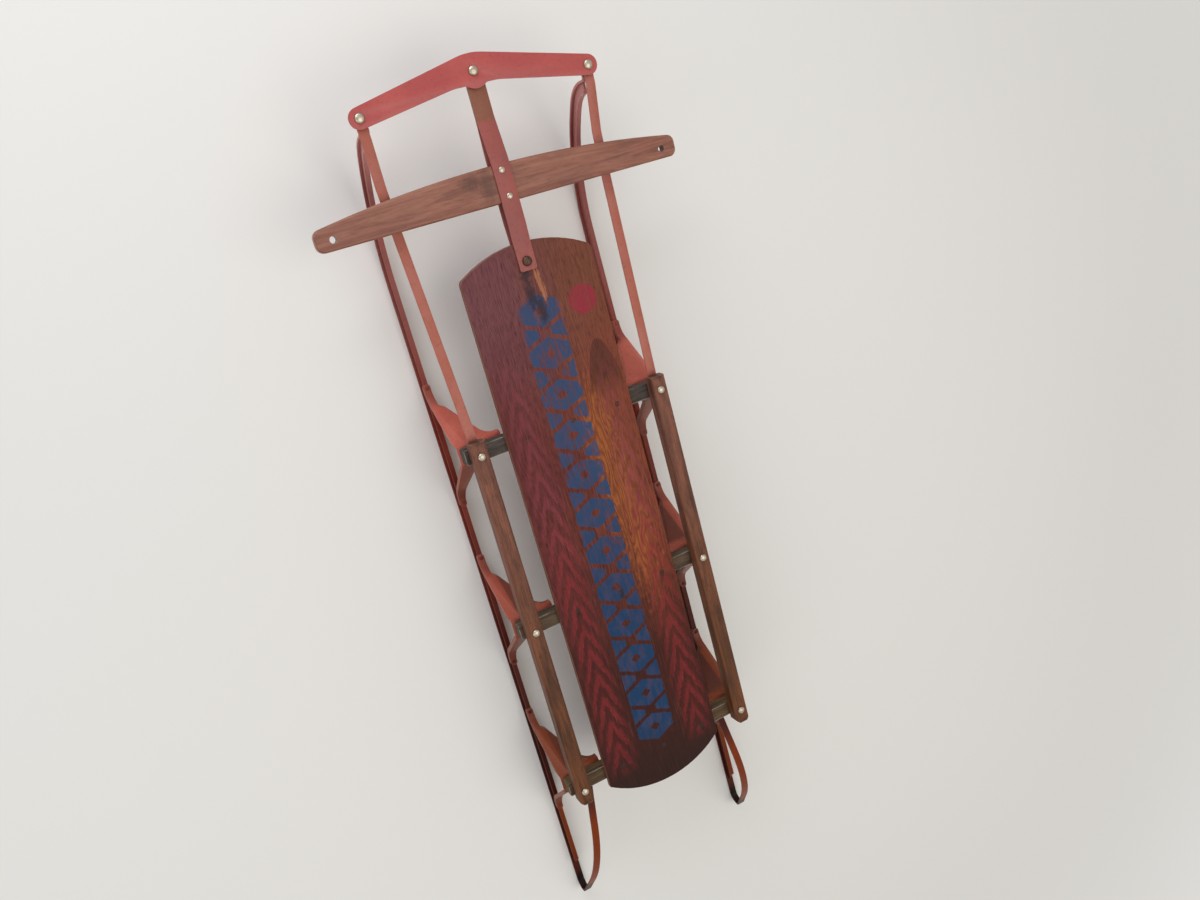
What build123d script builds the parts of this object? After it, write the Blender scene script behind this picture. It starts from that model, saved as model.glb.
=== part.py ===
# Steel-runner sled with a plywood deck, steered by a wooden bar at the front.
# +Y is the front of the sled, +X is the rider's right, +Z is up, in millimetres.
# The origin is on the floor, midway along and across the whole sled.
import math
import os

from build123d import *

os.makedirs("parts", exist_ok=True)

# Heights, from the floor upwards
runner_height = 17.0
knee_height = 85.0
bench_thick = 19.0
deck_thick = 8.0
rail_thick = 20.0
strap_thick = 2.5
bar_thick = 13.0
bumper_thick = 3.0

# Clearances
slide_gap = 0.3
pin_gap = 0.1
hole_gap = 0.2
slot_gap = 0.3

# How far a cut runs past what it cuts, how far joined steel laps, and what counts as one place
cut_past = 5.0
weld_lap = 0.5
near = 0.1

# Benches, which carry the deck and the rails
bench_pitch = 260.0
bench_depth = 21.0
bench_length = 305.0
bench_round = 1.5

# Side rails
rail_x = 136.0
rail_width = 22.0
rail_front = 20.0
rail_rear_over = 20.5
rail_round_top = 3.5
rail_round_low = 2.0
rail_clip = 5.0
strut_swing_gap = 1.5

# Deck
deck_width = 188.0
deck_front_reach = 246.0
deck_front_radius = 174.0
deck_front_corner = 9.0
deck_rear_over = 55.0
deck_rear_radius = 152.0
deck_rear_corner = 5.0
deck_round = 1.2

# Steering gear, measured from the deck's front edge
king_set = 25.0
steer_arm = 238.5
bar_set = 52.0
bar_length = 500.0
bar_width = 48.0
bar_end_width = 27.0
bar_corner = 10.0
bar_round = 2.0
rope_hole_inset = 22.0
rope_hole_d = 9.0
rope_hole_set = 13.0
centre_strap_width = 24.0
strap_corner = 3.0
strap_tail = 12.0
strap_bend = 8.0
strap_climb = 28.0
strap_level = 7.0
strap_drop = 50.0
strut_width = 13.0
strut_dip = 7.5
strut_bend = 16.0
strut_level = 8.0
strut_climb = 24.0

# Bumper
bumper_end_x = 153.5
bumper_setback = 23.5
bumper_end_r = 13.0
bumper_hump_r = 21.0
bumper_crown_r = 82.0
bumper_end_rise = 0.25
bumper_end_in = 2.4
bumper_lobe_round = 7.0
bumper_blend = 60.0
bumper_lobe_neck = 30.0
bumper_neck_width = 37.0
bumper_drop = 5.5

# Runners: a rail of T section with a bead on top
runner_x = 150.0
bead_width = 6.5
bead_thick = 3.0
web_thick = 3.0
tread_width = 10.5
tread_thick = 3.0
tread_groove = 0.8
groove_width = 9.4
tip_set = 15.8
curl_radius = 261.0
curl_angle = 42.0
curl_tip_radius = 59.0
tip_bend = 4.0
web_end = 727.0
web_slope = 40.0

# Tail loops, the bare tread brought back up to the rear bench
loop_start = 755.0
loop_radius = 13.0
loop_angle = 139.0
loop_top_radius = 180.0
loop_land = 8.0
loop_in_x = 113.0

# Knees of pressed steel
knee_sheet = 1.6
knee_flange = 6.0
saddle_half = 14.0
saddle_bend = 7.0
foot_start = 72.0
foot_bend = 24.0
foot_end = 92.0
knee_out_x = 155.5
knee_in_x = 92.0
knee_rear_in_x = 128.0
foot_width = 10.0
ear_depth = 16.0
ear_bow_x = 104.5
ear_bow_y = 17.2
neck_x = 114.0
neck_y = 23.0
rear_neck_x = 133.0
rear_neck_y = 25.0
rear_bow_x = 129.5
rear_bow_y = 19.0
ear_inset = 5.0
saddle_edge = 13.0
web_front_x = 138.0
web_front_y = 57.5
shoulder_y = 62.0
shoulder_r = 2.5
shank_run = 10.0
shank_x = 140.5
shank_y = 57.0
foot_nose_r = 4.9
crest_x = 141.0
crest_end_y = 64.0
crest_angle = 25.0

# Bolts and rivets
head_rim = 0.6
head_bend_out = 0.7
head_bend_up = 0.72
bolt_shank_d = 6.0
bolt_head_d = 10.5
bolt_head_h = 3.6
bolt_nut_af = 10.0
bolt_nut_h = 5.0
bolt_stub = 2.0
king_shank_d = 8.0
king_head_d = 12.6
king_head_h = 4.2
king_nut_af = 13.0
king_nut_h = 6.0
rivet_shank_d = 7.0
rivet_head_d = 12.0
rivet_head_h = 3.6
rivet_tail_d = 11.0
rivet_tail_h = 2.0
open_pivot_slack = 4.0

# Levels worked out from the heights
bench_low = runner_height + knee_height
bench_top = bench_low + bench_thick
deck_top = bench_top + deck_thick
rail_top = bench_top + rail_thick
saddle_low = bench_low - knee_sheet
bar_low = bench_top + deck_thick / 2 - bar_thick / 2
bar_top = bar_low + bar_thick
# The two centre straps lie together under the bumper
bumper_low = bar_top - bumper_drop
bumper_top = bumper_low + bumper_thick
nose_low = bumper_low - slide_gap - strap_thick

# Places along the sled, worked out from the front bench
nose_reach = deck_front_reach - king_set + steer_arm + bumper_hump_r
tail_reach = loop_start + loop_radius + tread_thick / 2
y0 = (tail_reach - nose_reach) / 2
bench_rows = [
    # name, distance behind the front bench
    ("front", 0.0),
    ("middle", bench_pitch),
    ("rear", 2 * bench_pitch),
]
sides = [
    # name, sign of X
    ("left", -1),
    ("right", 1),
]
rear_row = y0 - 2 * bench_pitch
rail_rear = rear_row - rail_rear_over
deck_rear = rear_row - deck_rear_over
deck_front = y0 + deck_front_reach
king_y = deck_front - king_set
nose_rivet_y = king_y + steer_arm
end_rivet_y = nose_rivet_y - bumper_setback
bar_rear_y = deck_front + bar_set
bar_front_y = bar_rear_y + bar_width
rope_hole_x = bar_length / 2 - rope_hole_inset


def plan_at(height):
    return Plane.XY.offset(height)


# Deck, one thin board with a curved front and a deeper curved rear
with BuildPart() as deck:
    half = deck_width / 2
    front_drop = deck_front_radius - math.sqrt(deck_front_radius**2 - half**2)
    rear_drop = deck_rear_radius - math.sqrt(deck_rear_radius**2 - half**2)
    with BuildSketch(plan_at(bench_top)):
        with BuildLine():
            ThreePointArc((-half, deck_front - front_drop), (0, deck_front), (half, deck_front - front_drop))
            Line((half, deck_front - front_drop), (half, deck_rear + rear_drop))
            ThreePointArc((half, deck_rear + rear_drop), (0, deck_rear), (-half, deck_rear + rear_drop))
            Line((-half, deck_rear + rear_drop), (-half, deck_front - front_drop))
        corners = make_face().vertices()
        fillet(corners.group_by(Axis.Y)[-1], radius=deck_front_corner)
        fillet(corners.group_by(Axis.Y)[0], radius=deck_rear_corner)
    extrude(amount=deck_thick)
    fillet(deck.faces().sort_by(Axis.Z)[-1].edges(), radius=deck_round)
    with Locations((0, king_y, deck_top)):
        Hole(radius=king_shank_d / 2 + hole_gap)
deck.part.label = "deck"
export_step(deck.part, "parts/deck.step")

# Side rails, with a recess in front for the strut that swings under them
for side, sx in sides:
    with BuildPart() as rail:
        length = y0 + rail_front - rail_rear
        with BuildSketch(Plane.XZ.offset(-rail_rear)):
            with Locations((sx * rail_x, bench_top + rail_thick / 2)):
                Rectangle(rail_width, rail_thick)
            fillet(vertices().group_by(Axis.Y)[-1], radius=rail_round_top)
            fillet(vertices().group_by(Axis.Y)[0], radius=rail_round_low)
        extrude(amount=-length)
        with BuildSketch(plan_at(bench_top)):
            with Locations((sx * rail_x, (y0 + rail_front + rail_rear) / 2)):
                Rectangle(rail_width, length)
            chamfer(vertices().group_by(Axis.Y)[0], length=rail_clip)
        extrude(amount=rail_thick, mode=Mode.INTERSECT)
        recess = rail_front + strut_width / 2 + strut_swing_gap
        with Locations((sx * rail_x, y0 + rail_front - recess / 2, bench_top)):
            Box(
                rail_width + 2 * cut_past,
                recess,
                2 * (strap_thick + 2 * slide_gap),
                mode=Mode.SUBTRACT,
            )
        for row, back in bench_rows:
            with Locations((sx * rail_x, y0 - back, rail_top)):
                Hole(radius=bolt_shank_d / 2 + hole_gap)
    rail.part.label = "rail_" + side
    export_step(rail.part, "parts/rail_" + side + ".step")

# Benches, the three crosspieces
for row, back in bench_rows:
    with BuildPart() as bench:
        with Locations((0, y0 - back, bench_low + bench_thick / 2)):
            Box(bench_length, bench_depth, bench_thick)
        fillet(bench.edges().filter_by(Axis.Z), radius=bench_round)
        with Locations((-rail_x, y0 - back, bench_top), (rail_x, y0 - back, bench_top)):
            Hole(radius=bolt_shank_d / 2 + hole_gap)
    bench.part.label = "bench_" + row
    export_step(bench.part, "parts/bench_" + row + ".step")


def knee_skin():
    # Side view of everything under the knee's outer skin
    beyond_feet = foot_end + foot_bend
    with BuildSketch() as skin:
        with BuildLine():
            Polyline(
                (-beyond_feet, -bench_low),
                (-beyond_feet, runner_height + knee_sheet),
                (-foot_start, runner_height + knee_sheet),
                (-saddle_half, bench_low),
                (saddle_half, bench_low),
                (foot_start, runner_height + knee_sheet),
                (beyond_feet, runner_height + knee_sheet),
                (beyond_feet, -bench_low),
                close=True,
            )
        make_face()
        fillet(vertices().filter_by(lambda v: abs(abs(v.X) - foot_start) < near), radius=foot_bend)
        fillet(vertices().filter_by(lambda v: abs(v.Y - bench_low) < near), radius=saddle_bend)
    return skin.sketch


def knee_outline(sx):
    # Plan view: wide under the bench, narrow at both feet
    foot_in = runner_x - foot_width / 2
    foot_out = runner_x + foot_width / 2
    saddle_rear = -saddle_half + ear_inset
    with BuildSketch() as outline:
        with BuildLine():
            Line((sx * knee_in_x, saddle_rear), (sx * knee_in_x, ear_depth))
            ThreePointArc(
                (sx * knee_in_x, ear_depth),
                (sx * ear_bow_x, ear_bow_y),
                (sx * neck_x, neck_y),
            )
            Polyline(
                (sx * neck_x, neck_y),
                (sx * web_front_x, web_front_y),
                (sx * foot_in, shoulder_y),
                (sx * foot_in, foot_end),
                (sx * foot_out, foot_end),
                (sx * foot_out, foot_start),
                (sx * knee_out_x, saddle_half),
                (sx * knee_out_x, -saddle_half),
                (sx * foot_out, -foot_start),
                (sx * foot_out, -foot_end),
                (sx * foot_in, -foot_end),
                (sx * foot_in, -foot_start - shank_run),
                (sx * shank_x, -shank_y),
                (sx * rear_neck_x, -rear_neck_y),
            )
            ThreePointArc(
                (sx * rear_neck_x, -rear_neck_y),
                (sx * rear_bow_x, -rear_bow_y),
                (sx * knee_rear_in_x, -saddle_edge),
            )
            Polyline(
                (sx * knee_rear_in_x, -saddle_edge),
                (sx * knee_rear_in_x, saddle_rear),
                (sx * knee_in_x, saddle_rear),
            )
        make_face()
        feet = vertices().filter_by(lambda v: abs(abs(v.Y) - foot_end) < near)
        fillet(feet, radius=foot_nose_r)
        # The web ends in a shoulder on the front leg
        shoulder = vertices().filter_by(lambda v: web_front_y - near < v.Y < shoulder_y + near)
        fillet(shoulder, radius=shoulder_r)
    return outline.sketch


def above_fold(sx, depth):
    # The front leg's outer strip is bent back about a crest; this lies above it
    top = Vector(sx * crest_x, saddle_half, bench_low)
    end_z = bench_low - (crest_end_y - saddle_half) * leg_slope
    run = (Vector(sx * knee_out_x, crest_end_y, end_z) - top).normalized()
    face = Vector(0, leg_slope, 1).normalized()
    out = run.cross(face) * sx
    if out.X * sx < 0:
        out = -out
    fold = math.radians(crest_angle)
    tilted = face * math.cos(fold) + out * math.sin(fold)
    with BuildPart() as above:
        with BuildSketch(Plane(origin=top - tilted * depth, x_dir=run, z_dir=tilted)):
            Rectangle(4 * knee_height, 4 * knee_height)
        extrude(amount=2 * knee_height)
        with BuildSketch(plan_at(0)):
            with Locations((sx * knee_out_x, saddle_half - depth)):
                Rectangle(
                    2 * knee_out_x,
                    crest_end_y - saddle_half + depth,
                    align=(Align.CENTER, Align.MIN),
                )
        extrude(amount=2 * bench_low, mode=Mode.INTERSECT)
    return above.part


# Knees, pressed from sheet with turned-down edges, two legs to a runner
leg_slope = (bench_low - runner_height - knee_sheet) / (foot_start - saddle_half)
skin = knee_skin()
for side, sx in sides:
    outline = knee_outline(sx)
    # What is hollow between the turned-down edges
    with BuildPart() as hollow:
        with BuildSketch(Plane.YZ):
            add(skin)
            offset(amount=-knee_sheet, kind=Kind.INTERSECTION, mode=Mode.REPLACE)
        extrude(amount=2 * knee_out_x, both=True)
        with BuildSketch(plan_at(-cut_past)):
            add(outline)
            offset(amount=-knee_sheet, kind=Kind.INTERSECTION, mode=Mode.REPLACE)
            with Locations((sx * (knee_in_x + knee_out_x) / 2, 0)):
                Rectangle(knee_out_x - knee_in_x + 4 * cut_past, 2 * saddle_half)
        extrude(amount=bench_low + cut_past, mode=Mode.INTERSECT)
        add(above_fold(sx, knee_sheet), mode=Mode.SUBTRACT)
    # What is below those edges
    with BuildPart() as below:
        with BuildSketch(Plane.YZ):
            add(skin)
            offset(amount=-knee_flange, kind=Kind.INTERSECTION, mode=Mode.REPLACE)
        extrude(amount=2 * knee_out_x, both=True)
        add(above_fold(sx, knee_flange), mode=Mode.SUBTRACT)
    with BuildPart() as knee:
        with BuildSketch(Plane.YZ):
            add(skin)
        extrude(amount=2 * knee_out_x, both=True)
        with BuildSketch(plan_at(0)):
            add(outline)
        extrude(amount=bench_low, mode=Mode.INTERSECT)
        add(above_fold(sx, 0), mode=Mode.SUBTRACT)
        add(hollow.part, mode=Mode.SUBTRACT)
        add(below.part, mode=Mode.SUBTRACT)
        # Both feet straddle the runner's bead
        with Locations((sx * runner_x, 0, runner_height)):
            Box(
                bead_width + 2 * hole_gap,
                2 * (foot_end + cut_past),
                4 * knee_flange,
                align=(Align.CENTER, Align.CENTER, Align.MAX),
                mode=Mode.SUBTRACT,
            )
        with Locations((sx * rail_x, 0, bench_low)):
            Hole(radius=bolt_shank_d / 2 + hole_gap)
    for row, back in bench_rows:
        placed = Pos(0, y0 - back, 0) * knee.part
        placed.label = "knee_" + row + "_" + side
        export_step(placed, "parts/knee_" + row + "_" + side + ".step")

# Runners
curl_sin = math.sin(math.radians(curl_angle))
curl_cos = math.cos(math.radians(curl_angle))
tip_y = end_rivet_y - tip_set
curl_start_y = tip_y - curl_tip_radius * (1 - curl_sin) - curl_radius * curl_sin
tip_z = curl_radius * (1 - curl_cos) + curl_tip_radius * curl_cos
tab_top = nose_low - 2 * slide_gap
loop_centre_z = loop_radius + tread_thick / 2
loop_end_z = saddle_low - tread_thick / 2
sweep_rear = y0 - (web_end + loop_start) / 2
loop_rest = math.radians(loop_angle - 90)
loop_slope = math.radians(180 - loop_angle)
turn_y = y0 - loop_start - loop_radius * math.cos(loop_rest)
turn_z = loop_centre_z + loop_radius * math.sin(loop_rest)
top_arc_z = loop_end_z - loop_top_radius * (1 - math.cos(loop_slope))
top_arc_y = turn_y + (top_arc_z - turn_z) / math.tan(loop_slope)
level_y = top_arc_y + loop_top_radius * math.sin(loop_slope)
for side, sx in sides:
    here = Plane.YZ.offset(sx * runner_x)
    # The tread rises from the tail's tip to the rear bench, drawing inwards
    with BuildPart() as high_tail:
        with BuildSketch(Plane.YZ):
            with BuildLine():
                CenterArc(
                    (y0 - loop_start, loop_centre_z),
                    loop_radius,
                    180,
                    90 - loop_angle,
                )
                Line((turn_y, turn_z), (top_arc_y, top_arc_z))
                CenterArc(
                    (level_y, loop_end_z - loop_top_radius),
                    loop_top_radius,
                    90 + (180 - loop_angle),
                    -(180 - loop_angle),
                )
                Line((level_y, loop_end_z), (rear_row + loop_land, loop_end_z))
            trace(line_width=tread_thick)
        extrude(amount=2 * runner_x, both=True)
        with BuildSketch(plan_at(0)):
            with BuildLine():
                Line(
                    (sx * runner_x, y0 - loop_start - loop_radius - tread_thick),
                    (sx * loop_in_x, rear_row + loop_land),
                )
            trace(line_width=tread_width)
        extrude(amount=bench_low, mode=Mode.INTERSECT)
    with BuildPart() as runner:
        # Flat on the snow, then the curl in front
        with BuildLine(here) as sole:
            Line((sweep_rear, 0), (curl_start_y, 0))
            CenterArc((curl_start_y, curl_radius), curl_radius, -90, curl_angle)
            CenterArc(
                (tip_y - curl_tip_radius, tip_z),
                curl_tip_radius,
                curl_angle - 90,
                90 - curl_angle,
            )
        with BuildSketch(Plane.XZ.offset(-sweep_rear)):
            with Locations((sx * runner_x, tread_thick / 2)):
                Rectangle(tread_width, tread_thick)
            with Locations((sx * runner_x, runner_height / 2)):
                Rectangle(web_thick, runner_height - bead_thick)
            with Locations((sx * runner_x, runner_height - bead_thick / 2)):
                Rectangle(bead_width, bead_thick)
            groove_r = ((groove_width / 2) ** 2 + tread_groove**2) / (2 * tread_groove)
            with Locations((sx * runner_x, tread_groove - groove_r)):
                Circle(groove_r, mode=Mode.SUBTRACT)
        sweep(path=sole.line)
        # The bead and the web stop short of the tail, cut off at a slope
        with BuildSketch(here):
            with BuildLine():
                web_top = runner_height + cut_past
                web_run = (web_top - tread_thick) / math.tan(math.radians(web_slope))
                Polyline(
                    (sweep_rear - cut_past, tread_thick),
                    (y0 - web_end, tread_thick),
                    (y0 - web_end + web_run, web_top),
                    (sweep_rear - cut_past, web_top),
                    close=True,
                )
            make_face()
        extrude(amount=tread_width, both=True, mode=Mode.SUBTRACT)
        # The bare tread goes on to the tip of the tail loop
        with BuildSketch(here):
            with BuildLine():
                Line((sweep_rear, tread_thick / 2), (y0 - loop_start, tread_thick / 2))
                CenterArc((y0 - loop_start, loop_centre_z), loop_radius, -90, -90)
            trace(line_width=tread_thick)
        extrude(amount=tread_width / 2, both=True)
        add(high_tail.part)
        # In front the tread bends forward under the strut and the bumper
        with BuildSketch(here):
            with BuildLine():
                face_y = tip_y - tread_thick / 2
                tab_z = tab_top - tread_thick / 2
                Line((face_y, tip_z - weld_lap), (face_y, tab_z - tip_bend))
                CenterArc((face_y + tip_bend, tab_z - tip_bend), tip_bend, 180, -90)
                Line((face_y + tip_bend, tab_z), (end_rivet_y + tread_width / 2, tab_z))
            trace(line_width=tread_thick)
        extrude(amount=tread_width / 2, both=True)
    runner.part.label = "runner_" + side
    export_step(runner.part, "parts/runner_" + side + ".step")

# Steering bar of wood, widest in the middle and bowed forward
with BuildPart() as steering_bar:
    half = bar_length / 2
    with BuildSketch(plan_at(bar_low)):
        with BuildLine():
            ThreePointArc(
                (half, bar_rear_y + bar_end_width),
                (0, bar_rear_y + bar_width),
                (-half, bar_rear_y + bar_end_width),
            )
            Polyline(
                (-half, bar_rear_y + bar_end_width),
                (-half, bar_rear_y),
                (half, bar_rear_y),
                (half, bar_rear_y + bar_end_width),
            )
        make_face()
        fillet(vertices(), radius=bar_corner)
    extrude(amount=bar_thick)
    rims = faces().sort_by(Axis.Z)[-1].edges() + faces().sort_by(Axis.Z)[0].edges()
    chamfer(rims, length=bar_round)
    rope_hole_y = bar_rear_y + rope_hole_set
    with Locations((-rope_hole_x, rope_hole_y, bar_top), (rope_hole_x, rope_hole_y, bar_top)):
        Hole(radius=rope_hole_d / 2)
steering_bar.part.label = "steering_bar"
export_step(steering_bar.part, "parts/steering_bar.step")

# The two centre straps, one over and one under the bar and the deck
strap_rear = king_y - strap_tail
strap_front = nose_rivet_y + strap_tail
nose_bend_y = bar_front_y + strap_level + strap_drop
over_deck = deck_top + slide_gap + strap_thick / 2
under_deck = bench_top - slide_gap - strap_thick / 2
straps = [
    # name, middle height at the deck, at the bar, and at the nose
    ("upper", over_deck, bar_top + strap_thick / 2, nose_low + strap_thick / 2),
    ("lower", under_deck, bar_low - strap_thick / 2, nose_low - strap_thick / 2),
]
for which, at_deck, at_bar, at_nose in straps:
    with BuildPart() as strap:
        with BuildSketch(Plane.YZ):
            with BuildLine():
                FilletPolyline(
                    (strap_rear, at_deck),
                    (deck_front, at_deck),
                    (bar_rear_y - strap_climb, at_bar),
                    (bar_front_y + strap_level, at_bar),
                    (nose_bend_y, at_nose),
                    (strap_front, at_nose),
                    radius=strap_bend,
                )
            trace(line_width=strap_thick)
        extrude(amount=centre_strap_width, both=True)
        with BuildSketch(plan_at(0)):
            with Locations((0, (strap_rear + strap_front) / 2)):
                Rectangle(centre_strap_width, strap_front - strap_rear)
            fillet(vertices(), radius=strap_corner)
        extrude(amount=2 * rail_top, mode=Mode.INTERSECT)
        with Locations((0, king_y, 2 * rail_top)):
            Hole(radius=king_shank_d / 2 + pin_gap)
        with Locations((0, nose_rivet_y, 2 * rail_top)):
            Hole(radius=rivet_shank_d / 2 + pin_gap)
    strap.part.label = which + "_strap"
    export_step(strap.part, "parts/" + which + "_strap.step")

# Side struts, from under the rails' front ends to under the bumper's ends
for side, sx in sides:
    with BuildPart() as strut:
        seat = bench_top + slide_gap + strap_thick / 2
        dip = bar_low - strut_dip + strap_thick / 2
        nose = nose_low + strap_thick / 2
        with BuildSketch(Plane.YZ):
            with BuildLine():
                FilletPolyline(
                    (y0 - strut_width, seat),
                    (y0 + rail_front + strut_level, seat),
                    (bar_rear_y - strut_level, dip),
                    (bar_front_y + strut_level, dip),
                    (end_rivet_y - strut_climb, nose),
                    (end_rivet_y + strut_width, nose),
                    radius=strut_bend,
                )
            trace(line_width=strap_thick)
        extrude(amount=2 * bumper_end_x, both=True)
        with BuildSketch(plan_at(0)):
            with BuildLine():
                Line((sx * rail_x, y0), (sx * bumper_end_x, end_rivet_y))
            trace(line_width=strut_width)
            with Locations((sx * rail_x, y0), (sx * bumper_end_x, end_rivet_y)):
                Circle(strut_width / 2)
        extrude(amount=2 * rail_top, mode=Mode.INTERSECT)
        with Locations((sx * rail_x, y0, 2 * rail_top)):
            Hole(radius=bolt_shank_d / 2 + pin_gap)
        # The open pivot: a slot, since the bumper swings on another radius
        with BuildSketch(plan_at(0)):
            with Locations((sx * bumper_end_x, end_rivet_y - open_pivot_slack / 2 + slot_gap)):
                SlotOverall(
                    rivet_shank_d + 2 * slot_gap + open_pivot_slack,
                    rivet_shank_d + 2 * slot_gap,
                    rotation=90,
                )
        extrude(amount=2 * rail_top, mode=Mode.SUBTRACT)
    strut.part.label = "strut_" + side
    export_step(strut.part, "parts/strut_" + side + ".step")

# Bumper, one stamped bar, bowed in front, with a lobe behind the middle rivet
with BuildPart() as bumper:
    crown_y = nose_rivet_y + bumper_hump_r - bumper_crown_r
    reach = math.hypot(bumper_end_x, crown_y - end_rivet_y)
    lean = math.asin((bumper_crown_r - bumper_end_r) / reach)
    lean += math.atan2(crown_y - end_rivet_y, bumper_end_x)
    arc_x = bumper_crown_r * math.sin(lean)
    arc_y = crown_y + bumper_crown_r * math.cos(lean)
    tip_x = bumper_end_x + bumper_end_r * math.sin(lean)
    tip_front_y = end_rivet_y + bumper_end_r * math.cos(lean)
    tip_rear_x = bumper_end_x - bumper_end_in
    tip_rear_y = end_rivet_y - bumper_end_r + bumper_end_rise
    neck_low = nose_rivet_y + bumper_hump_r - bumper_neck_width
    with BuildSketch(plan_at(bumper_low)):
        with BuildLine():
            ThreePointArc((-arc_x, arc_y), (0, nose_rivet_y + bumper_hump_r), (arc_x, arc_y))
            Polyline(
                (arc_x, arc_y),
                (tip_x, tip_front_y),
                (tip_rear_x, tip_rear_y),
                (bumper_lobe_neck, neck_low),
                (-bumper_lobe_neck, neck_low),
                (-tip_rear_x, tip_rear_y),
                (-tip_x, tip_front_y),
                (-arc_x, arc_y),
            )
        make_face()
        fillet(vertices().filter_by(lambda v: abs(abs(v.X) - bumper_lobe_neck) < near), radius=bumper_blend)
        with Locations((0, nose_rivet_y)):
            Circle(bumper_hump_r)
        fillet(
            vertices().filter_by(lambda v: abs(v.X) < bumper_hump_r and v.Y < nose_rivet_y),
            radius=bumper_lobe_round,
        )
        with Locations((-bumper_end_x, end_rivet_y), (bumper_end_x, end_rivet_y)):
            Circle(bumper_end_r)
    extrude(amount=bumper_thick)
    with Locations(
        (0, nose_rivet_y, bumper_top),
        (-bumper_end_x, end_rivet_y, bumper_top),
        (bumper_end_x, end_rivet_y, bumper_top),
    ):
        Hole(radius=rivet_shank_d / 2 + pin_gap)
bumper.part.label = "bumper"
export_step(bumper.part, "parts/bumper.step")


def turned(head_d, head_h, shank_r, low):
    # Half section of a round head on Z = 0 and the plain shank under it
    with BuildSketch() as half_section:
        with BuildLine():
            Polyline(
                (0, head_h),
                (0, low),
                (shank_r, low),
                (shank_r, 0),
                (head_d / 2, 0),
                (head_d / 2, head_rim),
                (head_d / 2 * head_bend_out, head_rim + (head_h - head_rim) * head_bend_up),
                close=True,
            )
        make_face()
    return half_section.sketch


# Rail bolts, each with a round head on the rail and a nut under the knee
for row, back in bench_rows:
    for side, sx in sides:
        with BuildPart() as bolt:
            bolt_low = saddle_low - bolt_nut_h - bolt_stub - rail_top
            with BuildSketch(Plane.XZ):
                add(turned(bolt_head_d, bolt_head_h, bolt_shank_d / 2, bolt_low))
            revolve(axis=Axis.Z)
            with BuildSketch(plan_at(saddle_low - rail_top)):
                RegularPolygon(bolt_nut_af / 2, 6, major_radius=False)
            extrude(amount=-bolt_nut_h)
        placed = Pos(sx * rail_x, y0 - back, rail_top) * bolt.part
        placed.label = "rail_bolt_" + row + "_" + side
        export_step(placed, "parts/rail_bolt_" + row + "_" + side + ".step")

# King bolt, the pivot of the steering
with BuildPart() as king_bolt:
    head_at = deck_top + strap_thick + 2 * slide_gap
    nut_at = bench_top - strap_thick - 2 * slide_gap
    king_low = nut_at - king_nut_h - bolt_stub - head_at
    with BuildSketch(Plane.XZ):
        add(turned(king_head_d, king_head_h, king_shank_d / 2, king_low))
    revolve(axis=Axis.Z)
    with BuildSketch(plan_at(nut_at - head_at)):
        RegularPolygon(king_nut_af / 2, 6, major_radius=False)
    extrude(amount=-king_nut_h)
placed = Pos(0, king_y, head_at) * king_bolt.part
placed.label = "king_bolt"
export_step(placed, "parts/king_bolt.step")

# Bumper rivets; the end ones stop short of the runners' tips
rivets = [
    # name, X, Y, height of the shank's end, has a tail
    ("centre", 0, nose_rivet_y, nose_low - strap_thick - slide_gap, True),
    ("left", -bumper_end_x, end_rivet_y, nose_low, False),
    ("right", bumper_end_x, end_rivet_y, nose_low, False),
]
for which, at_x, at_y, foot, tail in rivets:
    with BuildPart() as rivet:
        with BuildSketch(Plane.XZ):
            add(turned(rivet_head_d, rivet_head_h, rivet_shank_d / 2, foot - bumper_top))
        revolve(axis=Axis.Z)
        if tail:
            with Locations((0, 0, foot - bumper_top)):
                Cylinder(
                    rivet_tail_d / 2,
                    rivet_tail_h,
                    align=(Align.CENTER, Align.CENTER, Align.MAX),
                )
    placed = Pos(at_x, at_y, bumper_top) * rivet.part
    placed.label = "rivet_" + which
    export_step(placed, "parts/rivet_" + which + ".step")
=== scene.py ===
"""Looks of an old steel-runner sled: worn stained deck, hardwood rails and bar, red enamelled steel.

Everything stands in the sled's own frame: +Y to the bumper, +X to the rider's right, +Z up. Places and
sizes are in millimetres, and MM turns them to the scene's metres; the few in metres say so.
"""

import logging
import math
from collections.abc import Iterable, Sequence
from dataclasses import dataclass
from enum import Enum
from functools import reduce

import bmesh
import bpy
from mathutils import Matrix, Vector


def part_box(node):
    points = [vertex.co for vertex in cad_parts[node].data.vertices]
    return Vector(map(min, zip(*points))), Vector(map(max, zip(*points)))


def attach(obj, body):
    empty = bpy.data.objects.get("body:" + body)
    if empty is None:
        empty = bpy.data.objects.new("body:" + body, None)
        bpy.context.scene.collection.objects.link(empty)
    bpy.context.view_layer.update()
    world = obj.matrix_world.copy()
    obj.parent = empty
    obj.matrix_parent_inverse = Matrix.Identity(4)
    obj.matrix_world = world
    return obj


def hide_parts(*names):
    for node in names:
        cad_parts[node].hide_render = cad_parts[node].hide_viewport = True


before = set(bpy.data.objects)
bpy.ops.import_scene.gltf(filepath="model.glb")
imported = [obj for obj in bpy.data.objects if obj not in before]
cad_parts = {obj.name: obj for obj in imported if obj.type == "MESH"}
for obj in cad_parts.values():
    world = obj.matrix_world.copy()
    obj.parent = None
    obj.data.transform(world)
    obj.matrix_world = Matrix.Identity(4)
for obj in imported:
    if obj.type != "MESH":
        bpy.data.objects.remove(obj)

logging.basicConfig(level=logging.INFO, format="%(message)s")
LOG = logging.getLogger("sled")

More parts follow.
